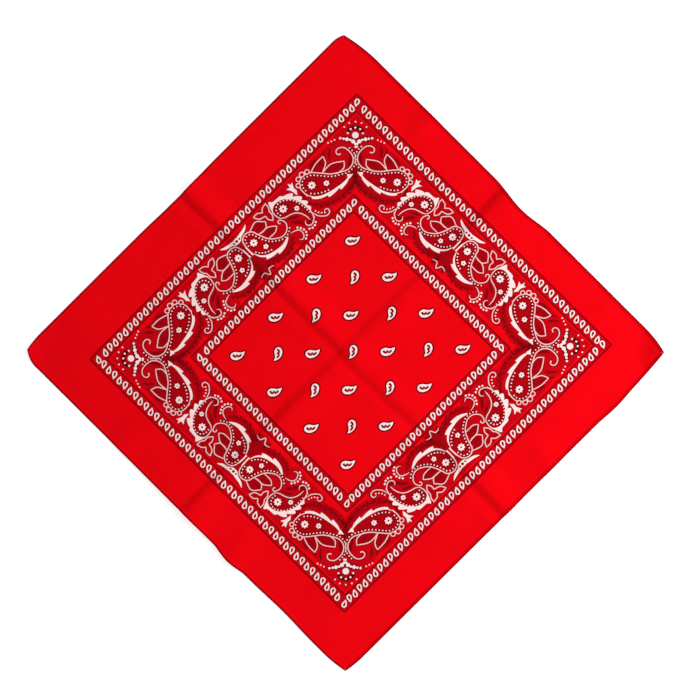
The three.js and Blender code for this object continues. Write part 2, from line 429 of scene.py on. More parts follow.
class Drawing:
    """Outlines filled with ink."""

    def __init__(self):
        self.shapes = []

    def fill(self, ink, loop):
        self.shapes.append((ink, np.asarray(loop, float)))

    def outlined(self, loop, edge=0.8):
        """A solid white shape with a black edge."""
        self.fill(EDGE, grow(loop, edge))
        self.fill(WHITE, loop)

    def path(self, line, width=LINE, taper=(0.45, 0.45)):
        """A thin white line with a black edge."""
        self.fill(EDGE, band(line, width + 2 * HALO, (0.8, 0.8)))
        self.fill(THIN_WHITE, band(line, width, taper))

    def dots(self, line, radius=DOT, channel=3.8):
        """A row of white dots, in a black channel where one is wanted."""
        length = lengths(line)[-1]
        count = max(1, round(length / DOT_PITCH))
        if channel:
            self.fill(EDGE, band(line, channel, (0.4, 0.4)))
        for centre in at(line, (np.arange(count) + 0.5) * length / count):
            self.fill(WHITE, disc(centre, radius, 7))

    def dots_beside(self, line, start, finish, by):
        """A row of dots to the left of a line, between two shares of its length."""
        stretch = at(line, np.linspace(start, finish, 24) * lengths(line)[-1])
        self.dots(stretch + leftwards(stretch) * by)

    def flower(self, centre, radius, petals=8):
        a = np.linspace(0, 2 * math.pi, petals * 4, endpoint=False)
        r = radius * (0.84 + 0.16 * np.cos(petals * a))
        self.fill(EDGE, disc(centre, radius * 1.1 + 0.9, 14))
        self.fill(WHITE, np.asarray(centre) + np.stack([r * np.cos(a), r * np.sin(a)], 1))
        self.fill(BLACK_OVER, disc(centre, radius * 0.24, 7))

    def leaf(self, base, tip, belly, back_belly, end):
        """A leaf drawn in outline, out to the tip and back, with a dark heart and a darker vein."""
        out, back = smooth([base, belly, tip]), smooth([tip, back_belly, end])
        outline = np.vstack([out, back[1:]])
        self.fill(EDGE, outline)
        self.fill(DEEP_OVER, grow(outline, -1.6))
        middle = (np.array(base) + end) / 2
        self.fill(BLACK_OVER, band(np.array([middle + (tip - middle) * k for k in (0.25, 0.5, 0.78)]), 0.9))
        self.path(out, taper=(0.8, 0.8))
        self.path(back, taper=(0.8, 0.8))

    def spray(self, tips, notches, bellies):
        """Pointed leaves that share one outline, from each tip to the notch after it and to the next tip."""
        parts = []
        for k, (tip, notch) in enumerate(zip(tips, notches)):
            parts.append(smooth([tip, bellies[2 * k], notch])[:-1])
            parts.append(smooth([notch, bellies[2 * k + 1], tips[(k + 1) % len(tips)]])[:-1])
        outline = np.vstack(parts)
        self.fill(EDGE, grow(outline, LINE / 2 + HALO))
        self.fill(THIN_WHITE, grow(outline, LINE / 2))
        self.fill(RED_OVER, grow(outline, -LINE / 2))

    def scallop(self, centre, radius):
        self.fill(EDGE, disc(centre, radius + 1.3, 14))
        self.fill(THIN_WHITE, disc(centre, radius + 0.35, 14))
        self.fill(RED_OVER, disc(centre, radius - 0.9, 12))

    def crescent(self, points, thickness, teeth, depth=2.2):
        """A white crescent, thicker towards its end, with teeth at some shares of its outer edge."""
        middle = smooth(points)
        side, s = -leftwards(middle), lengths(middle)
        share = s / s[-1]
        belly = thickness * np.sqrt(np.sin(math.pi * np.clip(share, 0.02, 0.98)))
        belly = belly * (0.55 + 0.45 * np.clip(share * 2, 0, 1))
        inner = middle - side * (belly * 0.45)[:, None]
        outer = []
        for place in sorted([*share, *[t - 0.004 for t in teeth], *[t + 0.004 for t in teeth]]):
            begin = max(b for b in (0.0, *teeth, 1.0) if b <= place)
            finish = min([t for t in teeth if t > place] + [1.0])
            rest = 1 - (place - begin) / max(finish - begin, 1e-6)
            width = np.interp(place, share, belly)
            tooth = depth * rest * min(1, width / 2.5) if begin > 0 else 0
            normal = np.array([np.interp(place, share, side[:, k]) for k in (0, 1)])
            outer.append(at(inner, [place * s[-1]])[0] + normal * (width * (0.75 + 0.25 * rest) + tooth))
        self.outlined(np.vstack([inner, np.array(outer)[::-1]]))

    def fringe(self, points, length, pitch=2.3, width=1.7, lean=0.5, gap=0.6):
        """Black hatching to the left of a line, like the tips of a feather's hairs."""
        line = smooth(points)
        side, s = leftwards(line), lengths(line)
        count = int(s[-1] / pitch)
        for k in range(count):
            share = (k + 0.5) / count
            normal = np.array([np.interp(share * s[-1], s, side[:, j]) for j in (0, 1)])
            along = np.array([normal[1], -normal[0]])
            root = at(line, [share * s[-1]])[0] + normal * gap
            reach = length * (0.85 + 0.3 * math.sin(k * 2.4))
            hair = (normal - along * lean) * (reach * math.sin(math.pi * (0.08 + 0.84 * share)) ** 0.5)
            foot, tip = root + hair * 0.5, root + hair
            foot_half, tip_half = along * width / 2, along * 0.4
            self.fill(BLACK, [foot - foot_half, foot + foot_half, tip + tip_half, tip - tip_half])


# The motifs. Places are millimetres from the border's corner: first down the side, then inwards.


def corner_motif(art):
    """The rosette in each corner, with its arcs of dots and a beaded garland on both sides."""
    middle = (31.8, 33.2)
    art.fill(EDGE, disc(middle, 5.2, 14))
    art.fill(WHITE, disc(middle, 4, 12))
    art.fill(BLACK, band(smooth(arc(middle, 9.4, 138, 312, steps=9)), 5, (0.3, 0.3)))
    for place in arc(middle, 9.2, 150, 300):
        art.fill(WHITE, disc(place, 1.3))
    for place in arc(middle, 16.3, 172, 278):
        art.fill(WHITE, disc(place, 1, 7))
    beads = (1.4, 1.7, 2.5, 1.6, 2.3, 1.6, 1.5)
    for turn in (1, -1):
        arm = smooth(np.array([(42, 43.4), (40.4, 38), (40.9, 32.8), (43.6, 28.4), (48.4, 21.9)])[:, ::turn])
        art.fill(BLACK, band(arm, 6.4, (0.7, 0.5)))
        for bead, radius in zip(at(arm, np.linspace(0.02, 1, len(beads)) * lengths(arm)[-1]), beads):
            art.fill(WHITE, disc(bead, radius, 9))
        for k in range(3):
            art.fill(WHITE, disc((54.6 + 4 * k, 18.6 - 1.4 * k)[::turn], 1, 7))


def dark_leaves(art):
    """Dark leaves of the hatched ground, between two corner paisleys and behind the leaves and curls."""
    for width, *points in (
        (5.2, (50, 50), (56, 53), (63, 60), (70, 66.5)),
        (4.2, (50, 44), (55, 48), (61, 53), (67, 57)),
        (3.8, (60, 66), (72, 71), (84, 72.5)),
        (3.2, (62, 21), (68, 26), (73, 32)),
        (3.0, (69, 18.5), (75, 24), (79, 29)),
        (2.8, (82, 20), (90, 20.5), (96, 23)),
        (4.0, (120, 34), (124, 42), (124, 50), (120.5, 57)),
        (4.2, (131, 70), (142, 66), (148, 58), (154, 52)),
        (3.4, (142, 54), (149, 50), (156, 47)),
        (3.0, (186, 28), (190, 31), (192, 27)),
        (3.8, (184, 71), (196, 70.5), (204, 66)),
    ):
        art.fill(EDGE, band(smooth(points), width, (0.15, 0.15)))


def large_paisley(art):
    """The large paisley on a scroll stem, next to each corner."""
    stem = smooth([
        arc((58, 33), 2.6, 80, -110, 4.6), arc((58.6, 37.4), 9, 228, 195, steps=2),
        arc((62.8, 42.2), 13.2, 175, 62, 12.8), (81.5, 45.4), (89.5, 36), (96.5, 27.6),
        arc((107, 35.4), 12.2, -118, 0), (118.8, 44),
    ])
    art.fill(DEEP, smooth([(118, 42), (114, 51), (103, 58.5), (88, 61), (73, 59), (83, 47), (91, 37),
                           (98, 28.5), (107, 24.5), (116, 30)], closed=True))
    behind = smooth([(123, 56), (114, 64), (100, 69.5), (85, 71.5), (70, 69.5), (58, 61)])
    art.fill(DEEP, band(behind, 8, (0.3, 0.3)))
    art.fringe([(61, 61), (72, 66.4), (85, 68), (99, 66), (111, 60.6), (120, 52)], 8.6)
    art.leaf((97, 26.6), (74.5, 23), (86, 23.2), (78, 31), (88, 36.6))
    art.leaf((89, 36.6), (61.5, 44.6), (74.5, 36.2), (67.5, 50.2), (78, 49.4))
    for centre, radius in (((99.8, 23), 2.9), ((106.2, 21), 3.2), ((112.8, 22.2), 3), ((118, 27.4), 2.8)):
        art.scallop(centre, radius)
    art.crescent([(119, 42), (115, 50), (107.5, 56.4), (97, 60.6), (86, 62.6), (77, 63.2), (69, 61.6)],
                 3.6, (0.12, 0.42, 0.68))
    art.outlined([(71.5, 60.8), (69.6, 57.8), (68, 60.6), (64.6, 63), (68.2, 63.6), (71.5, 64.2)], 0.6)
    art.dots_beside(stem, 0.17, 0.575, 3)
    art.dots_beside(stem, 0.575, 0.97, 3.1)
    art.dots(smooth([(115.4, 43), (111.6, 47.8), (104.2, 53.2), (95.5, 57)]))
    art.flower((107, 38.4), 4.9)
    art.flower((93.6, 48.8), 3.6, petals=6)
    art.path(stem, taper=(1.2, 1.3))


def small_paisley(art):
    """The smaller one beside the middle of each side, which meets its mirror image there."""
    stem = smooth([
        arc((162.4, 43.2), 1.6, 70, -110, 2.8, steps=4), (158.8, 44.6), (158.4, 49),
        arc((169.6, 46), 11.4, 150, 55), (183.4, 49.6), (187.6, 42), (190.6, 33.6),
        arc((200, 34.2), 9.6, -148, 0), (210.4, 41),
    ])
    art.fill(DEEP, smooth([(209, 44), (205, 54), (196, 61), (182, 62.5), (170, 60), (181, 54), (188.5, 44),
                           (192, 33), (199, 26), (207, 31)], closed=True))
    behind = smooth([(212, 58), (205, 68), (190, 73.5), (176, 72.5), (164, 66.5)])
    art.fill(DEEP, band(behind, 7, (0.3, 0.3)))
    art.fringe([(165, 63.5), (175, 69), (188, 70.6), (201, 66), (209, 57)], 7.4)
    art.leaf((194, 26), (173.5, 30.8), (182, 22.6), (178.5, 36.4), (189.8, 36))
    art.leaf((185.5, 37), (168, 43.6), (176, 37.4), (173.5, 47.4), (184, 47.6))
    art.crescent([(209.2, 47.5), (205.6, 55.8), (199, 61.8), (189.5, 65), (178, 65.6), (168, 61.8)],
                 4.2, (0.30, 0.56))
    art.dots_beside(stem, 0.20, 0.575, 2.9)
    art.dots_beside(stem, 0.575, 0.98, 2.9)
    art.dots(smooth([(207, 47), (203, 53), (197, 57.6), (190, 60)]))
    art.flower((200.2, 38.8), 4.8)
    art.flower((193.4, 52), 3.3, petals=5)
    art.path(stem, taper=(1.0, 1.5))
    art.fill(WHITE, [(209.9, 36), (211.1, 36), (211.4, 48.5), (209.6, 48.5)])


def feathered_paisley(art):
    """The one between them, whose outer side is a row of feathers and whose tail parts into two curls."""
    art.fill(DEEP, smooth([(157, 22), (160, 34), (158, 40), (148, 45.5), (139.5, 50), (136, 62), (131, 66),
                           (128.5, 52), (131, 36), (142, 24)], closed=True))
    art.dots(smooth([(130.6, 61), (130.4, 52), (131.6, 43), (134.6, 35), (140, 29.4), (147, 26),
                     (153.6, 27.6), (156.8, 33), (156.2, 39.6)]))
    for foot, tip, hollow, root in (
        ((128.4, 59), (125, 56), (126.5, 51.8), (128.8, 50)),
        ((128.6, 51), (123.2, 49), (126.4, 43.4), (130.4, 40.6)),
        ((130, 43), (124.2, 40), (129.2, 33.8), (135, 30.8)),
        ((134.4, 34), (128.8, 29.4), (135.5, 24.8), (143, 24.2)),
    ):
        art.outlined(smooth([foot, tip, hollow, root]))
    art.path(smooth([(131, 68), (128.6, 58), (128.6, 47), (131, 37), (137, 28.4), (146, 23.2), (154, 22.4),
                     (159.4, 27.2), (160.6, 34), (159, 40.6)]), taper=(0.9, 0.9))
    art.outlined(smooth([(138.6, 27.6), (140.4, 21.6), (146, 20.6), (152, 20), (155.4, 16.6), (158.4, 22.6),
                         (161, 30), (158.4, 27), (152.6, 23.8), (145, 24.8)], closed=True))
    for points in (
        [(159.4, 40), (155, 43.2), (148.6, 45.2), (143, 47.8), (138.6, 53), (136.4, 60), (136.2, 66.2)],
        [(129.4, 62), (131.4, 67.4), arc((139, 66.2), 5.8, 140, -60, 3.4, steps=6)],
        [(128.6, 62), (126.6, 69.4), (121.8, 75), arc((116.6, 72.4), 4.6, 70, 330, 2, steps=6)],
    ):
        art.path(smooth(points))
    art.dots(smooth([(125.4, 61.5), (123.6, 67), (120, 71.4), (116.8, 72.8)]), channel=0)
    art.dots(smooth([(132.2, 71.6), (136.6, 74.6), (141.4, 74.8), (145.6, 72)]), channel=0, radius=1.3)
    art.flower((149, 34.6), 5.1)
    art.flower((137.6, 45.4), 3.3, petals=6)


def small_blooms(art):
    """The fillings between the paisleys: a tulip, an open lily, a dotted hook and a ribbon leaf."""
    art.outlined([(120.4, 19.6), (123.4, 20.4), (125, 16.8), (126.4, 22.2), (131, 20.8), (127.8, 25.8),
                  (126.6, 34.6), (123.2, 30.4), (123.4, 25.6)], 0.7)
    art.spray(tips=((159, 15.4), (180, 17), (166.4, 36)), notches=((168.8, 20.8), (169, 26), (162.2, 25.2)),
              bellies=((165.4, 16.8), (173.4, 17), (176.4, 23.4), (169.4, 31.2), (162.6, 30.8),
                       (159.4, 20.8)))
    art.path(smooth([(163, 61.6), (158.4, 62.6), arc((159.6, 69.4), 7.2, 215, 150, steps=3),
                     arc((157.4, 73), 3.4, 130, 20, steps=4)]))
    art.dots(smooth([(154, 60.6), (150.6, 65.6), (149, 71), (151, 76), (156.6, 79.6)]), channel=0, radius=1.3)
    art.outlined(smooth([(192, 16.4), (199, 18.4), (206, 19.6), (209.4, 20.6), (208.4, 24), (202, 22.6),
                         (196.6, 20.8)], closed=True))


def mid_side_motif(art):
    """The knot, plume and tiara on the line between two mirrored halves."""
    art.outlined(disc((0, 0), 1, 20) * (7.2, 3.5) + (MID_SIDE, 23.6))
    for shift, radius in ((-4.5, 1.35), (0, 1.8), (4.5, 1.35)):
        art.fill(EDGE_OVER, disc((MID_SIDE + shift, 23.6), radius))
    for reach, foot, low, high in ((11.5, 2, 66, 80), (8, 3.6, 58, 73), (4.2, 1.6, 52, 76)):
        for side in (-1, 1):
            stroke = [(foot, low), (foot + 1.5, low + 3), (reach, high), (reach - 3.6, high - 2)]
            art.fill(BLACK, [(MID_SIDE + side * x, y) for x, y in stroke])
    plume = [(0, 48), (4.2, 55), (7, 62), (6.4, 68), (3, 73), (0, 76), (-3, 73), (-6.4, 68), (-7, 62),
             (-4.2, 55)]
    art.fill(DEEP_OVER, np.add(plume, (MID_SIDE, 0)))
    art.fill(EDGE, band(np.array([(MID_SIDE, 29.0), (MID_SIDE, 50.0)]), 2.4))
    tiara = [(-10.6, 74.6), (-6.4, 73.2), (-3.6, 73.4), (-1.6, 77.4), (0, 79.4), (1.6, 77.4), (3.6, 73.4),
             (6.4, 73.2), (10.6, 74.6)]
    art.path(smooth(np.add(tiara, (MID_SIDE, 0))), 1.3)


def hatched_ground(art):
    """The finely hatched ground behind half a side's motifs."""
    art.fill(CRIMSON, [
        (14.6, 14.6), (28, 16), (44, 14.5), (58, 16), (72, 18.5), (84, 16), (96, 15), (108, 14.5),
        (118, 15.5), (130, 14.5), (146, 15.5), (156, 14.5), (170, 15), (186, 14.5), (200, 15), (213, 15),
        (213, 82), (206, 80), (200, 75), (188, 79), (176, 79), (168, 75), (160, 82), (150, 81), (144, 78),
        (134, 80), (122, 79), (112, 80), (108, 74), (98, 77), (84, 79), (70, 77), (62, 73), (58, 62),
        (50, 52)])


def drop(art, centre, turn):
    """A drop of the border rows: a white ring with one round and one pointed end, and a dark heart."""
    length, width = DROP_SIZE

    def outline(shrink, count):
        a = np.linspace(0, 2 * math.pi, count, endpoint=False)
        y = -np.cos(a) * (length / 2 - shrink) + shrink * 0.35
        x = np.sin(a) * np.abs(np.sin(a / 2)) ** 1.1 * (width / 2 - shrink * 0.92) * 1.2
        c, s = math.cos(turn), math.sin(turn)
        return np.asarray(centre) + np.stack([x * c - y * s, x * s + y * c], 1)

    art.outlined(outline(0, 14), 0.9)
    art.fill(EDGE_OVER, outline(DROP_RING, 10))


def drop_border(art, half):
    """Four rows of drops inside a frame line, whose points turn alternately one way and the other."""
    a, b = np.array(half) - DROP_ROW_IN
    corners = np.array([(-a, b), (a, b), (a, -b), (-a, -b)])
    rising = False
    for k, (start, finish) in enumerate(zip(corners, np.roll(corners, -1, 0))):
        length = float(np.linalg.norm(finish - start))
        step = (finish - start) / length
        flat_row = k % 2 == 0
        down = DROP_LEAN if flat_row else math.pi / 2 - DROP_LEAN
        up = DROP_LEAN + math.pi if flat_row else 3 * math.pi / 2 - DROP_LEAN
        tips = np.array((1, 0) if flat_row else (0, -1)) * DROP_TIP_SHIFT
        drop(art, start, up if rising else down)
        count = round((length - DROP_CORNER_GAP) / DROP_PITCH)
        if (count % 2 == 1) == flat_row:
            count += 1
        for j in range(count):
            place = start + step * (DROP_CORNER_GAP + (length - DROP_CORNER_GAP) * j / count)
            drop(art, place + tips * (-1 if rising else 1), up if rising else down)
            rising = not rising


def frame_lines(art):
    """The thin black lines on both sides of each row of drops."""
    for a, b in (OUTER_FRAME, OUTER_FRAME_INSIDE, INNER_FRAME, INNER_FRAME_INSIDE):
        corners = np.array([(-a, b), (a, b), (a, -b), (-a, -b)])
        for start, finish in zip(corners, np.roll(corners, -1, 0)):
            count = int(np.linalg.norm(finish - start) / FRAME_STEP)
            line = start + (finish - start) * np.linspace(0, 1, count)[:, None]
            art.fill(EDGE, band(line, FRAME_LINE, (1, 1)))


def drop_ground(art):
    """The darker red behind the rows of drops."""
    for (a, b), (c, d) in ((OUTER_FRAME, OUTER_FRAME_INSIDE), (INNER_FRAME, INNER_FRAME_INSIDE)):
        for left, right, low, high in ((-a, a, d, b), (-a, a, -b, -d), (-a, -c, -d, d), (c, a, -d, d)):
            art.fill(CRIMSON, [(left, low), (right, low), (right, high), (left, high)])


def field_drop(art, centre, mirrored):
    """A small white paisley of the middle field with a black scroll. It points right, or down if mirrored."""
    body = smooth([(-8.3, -0.8), (-6.8, 2.8), (-2.8, 4.6), (1.6, 4), (5.4, 4), (8.9, 5.4), (8, 1.6),
                   (4.6, -2.9), (-1, -5.2), (-6, -4.3)], closed=True, step=1.9)
    if mirrored:
        body = body * 0.95
    scroll = smooth([(-5.1, 1.3), (-3.4, -1), (-1.4, -1.2), (-0.2, 0.7), (1.3, -1), (3.1, -0.3), (5, 1.9)])

    def turned(points):
        right, up = -points.T[::-1] if mirrored else points.T
        return np.stack([right - up, right + up], 1) / math.sqrt(2) + centre

    art.fill(BLACK, turned(grow(body, 1.7)))
    art.fill(WHITE, turned(body))
    art.fill(EDGE_OVER, turned(band(scroll, 2.9, (0.9, 0.7))))


def middle_field(art):
    """Small paisleys in a grid of four by four, and others in the middles of its cells."""
    for count, mirrored in ((4, False), (3, True)):
        for cell in np.ndindex(count, count):
            place = (np.array(cell) - (count - 1) / 2) * FIELD_PITCH
            field_drop(art, place + (TALL_SHIFT if mirrored else WIDE_SHIFT), mirrored)


def pulled(places):
    """The print's places after the cloth was laid by hand, which draws its corners and sides a little."""
    u, v = (places / OUTER_FRAME).T
    shift = np.zeros_like(places)
    for name, a, b in (("top", -1, 1), ("right", 1, 1), ("bottom", 1, -1), ("left", -1, -1)):
        shift += ((1 + a * u) * (1 + b * v) / 4)[:, None] * CORNER_PULL[name]
    runs = {"upper_right": (u, v), "lower_right": (v, u), "lower_left": (u, -v), "upper_left": (v, -u)}
    for name, (run, away) in runs.items():
        shift += (np.maximum(0, 1 - run * run) * ((1 + away) / 2) ** 2)[:, None] * SIDE_PULL[name]
    return places + shift


def whole_print():
    """All shapes of the print, in millimetres of the cloth, ordered by ink."""
    corner, half, middle, whole = Drawing(), Drawing(), Drawing(), Drawing()
    corner_motif(corner)
    for draw in (hatched_ground, dark_leaves, large_paisley, small_paisley, feathered_paisley, small_blooms):
        draw(half)
    mid_side_motif(middle)
    for draw in (drop_ground, frame_lines, middle_field):
        draw(whole)
    drop_border(whole, OUTER_FRAME)
    drop_border(whole, INNER_FRAME)
    a, b = border = np.subtract(OUTER_FRAME, BORDER_STARTS)
    for signs in ((-1, -1), (-1, 1), (1, -1), (1, 1)):
        for ink, loop in corner.shapes + half.shapes:
            whole.fill(ink, signs * (border - loop))
        for ink, loop in half.shapes:
            whole.fill(ink, signs * (border - loop[:, ::-1] * (1, b / MID_SIDE)))
    for ink, loop in middle.shapes:
        down, inwards = loop[:, 0] - MID_SIDE, loop[:, 1]
        for sign in (-1, 1):
            whole.fill(ink, np.stack([down, sign * (b - inwards)], 1))
            whole.fill(ink, np.stack([sign * (a - inwards), down], 1))
    placed = [(ink, pulled(loop) + PRINT_MIDDLE) for ink, loop in whole.shapes]
    return sorted(placed, key=lambda shape: shape[0])


def stepped(loop, step):
    """An outline with more points along its long edges, so that the cloth can bend there."""
    out = []
    for here, following in zip(loop, np.roll(loop, -1, 0)):
        count = max(1, math.ceil(float(np.linalg.norm(following - here)) / step))
        out.append(here + (following - here) * np.linspace(0, 1, count, endpoint=False)[:, None])
    return np.vstack(out)


def inside(points, loop):
    """Which points an outline winds round."""
    turns = np.zeros(len(points), int)
    for (x1, y1), (x2, y2) in zip(loop, np.roll(loop, -1, 0)):
        rising = (y1 <= points[:, 1]) & (y2 > points[:, 1])
        falling = (y1 > points[:, 1]) & (y2 <= points[:, 1])
        side = (x2 - x1) * (points[:, 1] - y1) - (points[:, 0] - x1) * (y2 - y1)
        turns += (rising & (side > 0)).astype(int) - (falling & (side < 0)).astype(int)
    return turns != 0


def square_rim(half):
    """Points round a square, corner by corner."""
    run = np.linspace(-half, half, round(2 * half / EDGE_STEP), endpoint=False)
    fixed = np.full(len(run), half)
    sides = ((run, -fixed), (fixed, run), (-run, fixed), (-fixed, -run))
    return np.vstack([np.stack(side, 1) for side in sides])


def ground_grid(half, step):
    """Points of the woven ground, closer together over the two creases."""
    def places(crest):
        run = [crest]
        for sign in (-1, 1):
            place = crest
            while True:
                place += sign * (CREASE_STEP if abs(place - crest) < CREASE_REACH else step)
                if abs(place) > half - CLEAR_OF_EDGE * step:
                    break
                run.append(place)
        return sorted(run)

    a, b = (places(crease["crest"]) for crease in CREASES)
    return [(x, y) for x in a for y in b]


def twice_area(a, b, c):
    """Twice the area of each triangle, negative where its corners turn clockwise."""
    return (b[:, 0] - a[:, 0]) * (c[:, 1] - a[:, 1]) - (b[:, 1] - a[:, 1]) * (c[:, 0] - a[:, 0])


def cut_cloth(outlines, ground):
    """Flat triangles over points of the ground, cut along outlines. The first outline is the rim.

    Gives the places, the triangles with their corners anticlockwise, and the numbers of the rim's points.
    """
    points, edges = [], []
    for loop in outlines:
        first, count = len(points), len(loop)
        points.extend(Vector(p) for p in loop)
        edges.extend((first + k, first + (k + 1) % count) for k in range(count))
    points.extend(Vector(p) for p in ground)
    places, _, faces, origins, _, _ = delaunay_2d_cdt(points, edges, [], 0, MERGE, True)
    places, faces = np.array([p[:] for p in places]), np.array(faces)
    of_input = {k: new for new, olds in enumerate(origins) for k in olds}
    turning = twice_area(*places[faces.T])
    faces = np.where(turning[:, None] < 0, faces[:, ::-1], faces)
    return places, faces, [of_input[k] for k in range(len(outlines[0]))]


def printed_cloth(half, shapes):
    """The cloth's flat triangles, cut along every line of the print, with the ink of each."""
    drawn = np.vstack([loop for _, loop in shapes])
    tree = kdtree.KDTree(len(drawn))
    for k, place in enumerate(drawn):
        tree.insert((*place, 0), k)
    tree.balance()
    ground = [p for p in ground_grid(half, GROUND_STEP) if tree.find((*p, 0))[2] > CLEAR_OF_PRINT]
    places, faces, rim = cut_cloth([square_rim(half), *(loop for _, loop in shapes)], ground)
    middles = places[faces].mean(axis=1)
    order = np.argsort(middles[:, 0])
    sorted_x = middles[order, 0]
    inks = np.zeros(len(faces), int)
    for ink, loop in shapes:
        low, high = loop.min(0), loop.max(0)
        near = order[np.searchsorted(sorted_x, low[0]):np.searchsorted(sorted_x, high[0])]
        near = near[(middles[near, 1] > low[1]) & (middles[near, 1] < high[1])]
        inks[near[inside(middles[near], loop)]] = ink
    return places, faces, inks, rim


def show_through(flat, faces, mixes, places, half):
    """A faint, blurred trace of the print for places of the underside."""
    a, b, c = flat[faces.T]
    area = np.abs(twice_area(a, b, c))
    cells = int(2 * half / SHOW_CELL) + 1
    here = np.clip(((a + b + c) / 3 + half) // SHOW_CELL, 0, cells - 1).astype(int)
    ink, total = np.zeros((cells, cells, 3)), np.full((cells, cells), 1e-6)
    np.add.at(ink, (here[:, 0], here[:, 1]), mixes * area[:, None])
    np.add.at(total, (here[:, 0], here[:, 1]), area)
    there = np.clip((places + half) // SHOW_CELL, 0, cells - 1).astype(int)
    return SHOW_THROUGH * (ink / total[:, :, None])[there[:, 0], there[:, 1]]


# Meshes.


def deselect_all():
    bpy.ops.object.select_all(action="DESELECT")


def new_piece(name, vertices, faces, material):
    mesh = bpy.data.meshes.new(name)
    mesh.from_pydata([tuple(v) for v in vertices], [], [tuple(int(k) for k in f) for f in faces])
    mesh.materials.append(material)
    piece = bpy.data.objects.new(name, mesh)
    bpy.context.scene.collection.objects.link(piece)
    mesh.polygons.foreach_set("use_smooth", [True] * len(mesh.polygons))
    mesh.update()
    return piece


def corner_vertices(mesh):
    """The number of the vertex at each corner of a mesh's faces."""
    vertices = np.empty(len(mesh.loops), np.int32)
    mesh.loops.foreach_get("vertex_index", vertices)
    return vertices


def add_uv(piece, name, places):
    """A UV map from one place for each vertex."""
    layer = piece.data.uv_layers.new(name=name)
    layer.data.foreach_set("uv", np.asarray(places, float)[corner_vertices(piece.data)].ravel())


def sharpen_rims(piece, rims):
    """Makes the cut edge sharp, so that the flat faces beside it aren't shaded as if they turned down."""
    on_rim = np.zeros(len(piece.data.vertices), int)
    for mark, rim in enumerate(rims, 1):
        on_rim[rim] = mark
    ends = np.empty(2 * len(piece.data.edges), np.int32)
    piece.data.edges.foreach_get("vertices", ends)
    first, second = on_rim[ends[::2]], on_rim[ends[1::2]]
    piece.data.edges.foreach_set("use_edge_sharp", (first > 0) & (first == second))


# Materials.


def woven_cotton(name, base_for):
    """Dyed plain-woven cotton. The eye gets a matt, slightly fuzzy red with thread slubs and uneven dye.

    The weave is a bump of threads that cross.
    """
    material = bpy.data.materials.new(name)
    material.use_nodes = True
    tree = material.node_tree
    tree.nodes.clear()
    cloth_uv = add_node(tree, "ShaderNodeUVMap", {}, uv_map="cloth").outputs["UV"]
    slubs, threads = [], []
    for stretch in ((SLUB_LENGTH, SLUB_WIDTH), (SLUB_WIDTH, SLUB_LENGTH)):
        scale = (1 / (stretch[0] * MM), 1 / (stretch[1] * MM), 1)
        mapping = add_node(tree, "ShaderNodeMapping", {"Vector": cloth_uv, "Scale": scale})
        slubs.append(add_node(tree, "ShaderNodeTexNoise",
                              {"Vector": mapping.outputs[0], "Scale": 1, "Detail": 2}).outputs["Fac"])
    patches = add_node(tree, "ShaderNodeTexNoise",
                       {"Vector": cloth_uv, "Scale": 1 / (DYE_PATCH * MM), "Detail": 3}).outputs["Fac"]
    slub = add_node(tree, "ShaderNodeMath", {0: slubs[0], 1: slubs[1]}, operation="ADD").outputs[0]
    mottle = add_node(tree, "ShaderNodeMath", {0: slub, 1: patches}, operation="ADD").outputs[0]
    tone = add_node(tree, "ShaderNodeMapRange", {0: mottle, 1: 1, 2: 2, 3: 0.90, 4: 1.08}).outputs[0]
    base = base_for(tree, cloth_uv)
    toned = add_node(tree, "ShaderNodeVectorMath", {0: base, "Scale": tone}, operation="SCALE")
    for direction in ("X", "Y"):
        wave = add_node(tree, "ShaderNodeTexWave",
                        {"Vector": cloth_uv, "Scale": 1 / (WEAVE * MM) / BANDS_A_UNIT, "Distortion": 0.35,
                         "Detail": 1, "Detail Scale": 2}, wave_type="BANDS", bands_direction=direction)
        threads.append(wave.outputs["Fac"])
    weave = add_node(tree, "ShaderNodeMath", {0: threads[0], 1: threads[1]}, operation="ADD").outputs[0]
    bump = add_node(tree, "ShaderNodeBump", {"Strength": 0.35, "Distance": WEAVE_DEPTH * MM, "Height": weave})
    shader = add_node(tree, "ShaderNodeBsdfPrincipled",
                      {"Base Color": toned.outputs[0], "Roughness": 0.95, "Normal": bump.outputs[0],
                       "IOR": 1.45, "Specular IOR Level": 0.06})
    add_node(tree, "ShaderNodeOutputMaterial", {"Surface": shader.outputs[0]})
    return material


def printed_plain_woven_cotton(colours):
    """The printed panel: inks without any gloss of their own, laid on by an attribute of the faces."""
    def base(tree, cloth_uv):
        inks = add_node(tree, "ShaderNodeAttribute", {}, attribute_name="print_ink").outputs["Color"]
        white, black, hatched = add_node(tree, "ShaderNodeSeparateColor", {"Color": inks}).outputs
        grain = add_node(tree, "ShaderNodeTexNoise",
                         {"Vector": cloth_uv, "Scale": 1 / (HATCH_GRAIN * MM), "Detail": 1}).outputs["Fac"]
        lines = add_node(tree, "ShaderNodeMapRange", {0: grain, 1: 0.38, 2: 0.60, 3: 0.45, 4: 1}).outputs[0]
        ground = add_node(tree, "ShaderNodeMix", {0: lines, 6: colours.dye, 7: colours.crimson}, **OF_COLOURS)
        red = add_node(tree, "ShaderNodeMix", {0: hatched, 6: colours.dye, 7: ground.outputs[2]},
                       **OF_COLOURS)
        pale = add_node(tree, "ShaderNodeMix", {0: white, 6: red.outputs[2], 7: colours.white}, **OF_COLOURS)
        full = add_node(tree, "ShaderNodeMix", {0: black, 6: pale.outputs[2], 7: colours.black}, **OF_COLOURS)
        return full.outputs[2]
    return woven_cotton("printed_plain_woven_cotton", base)


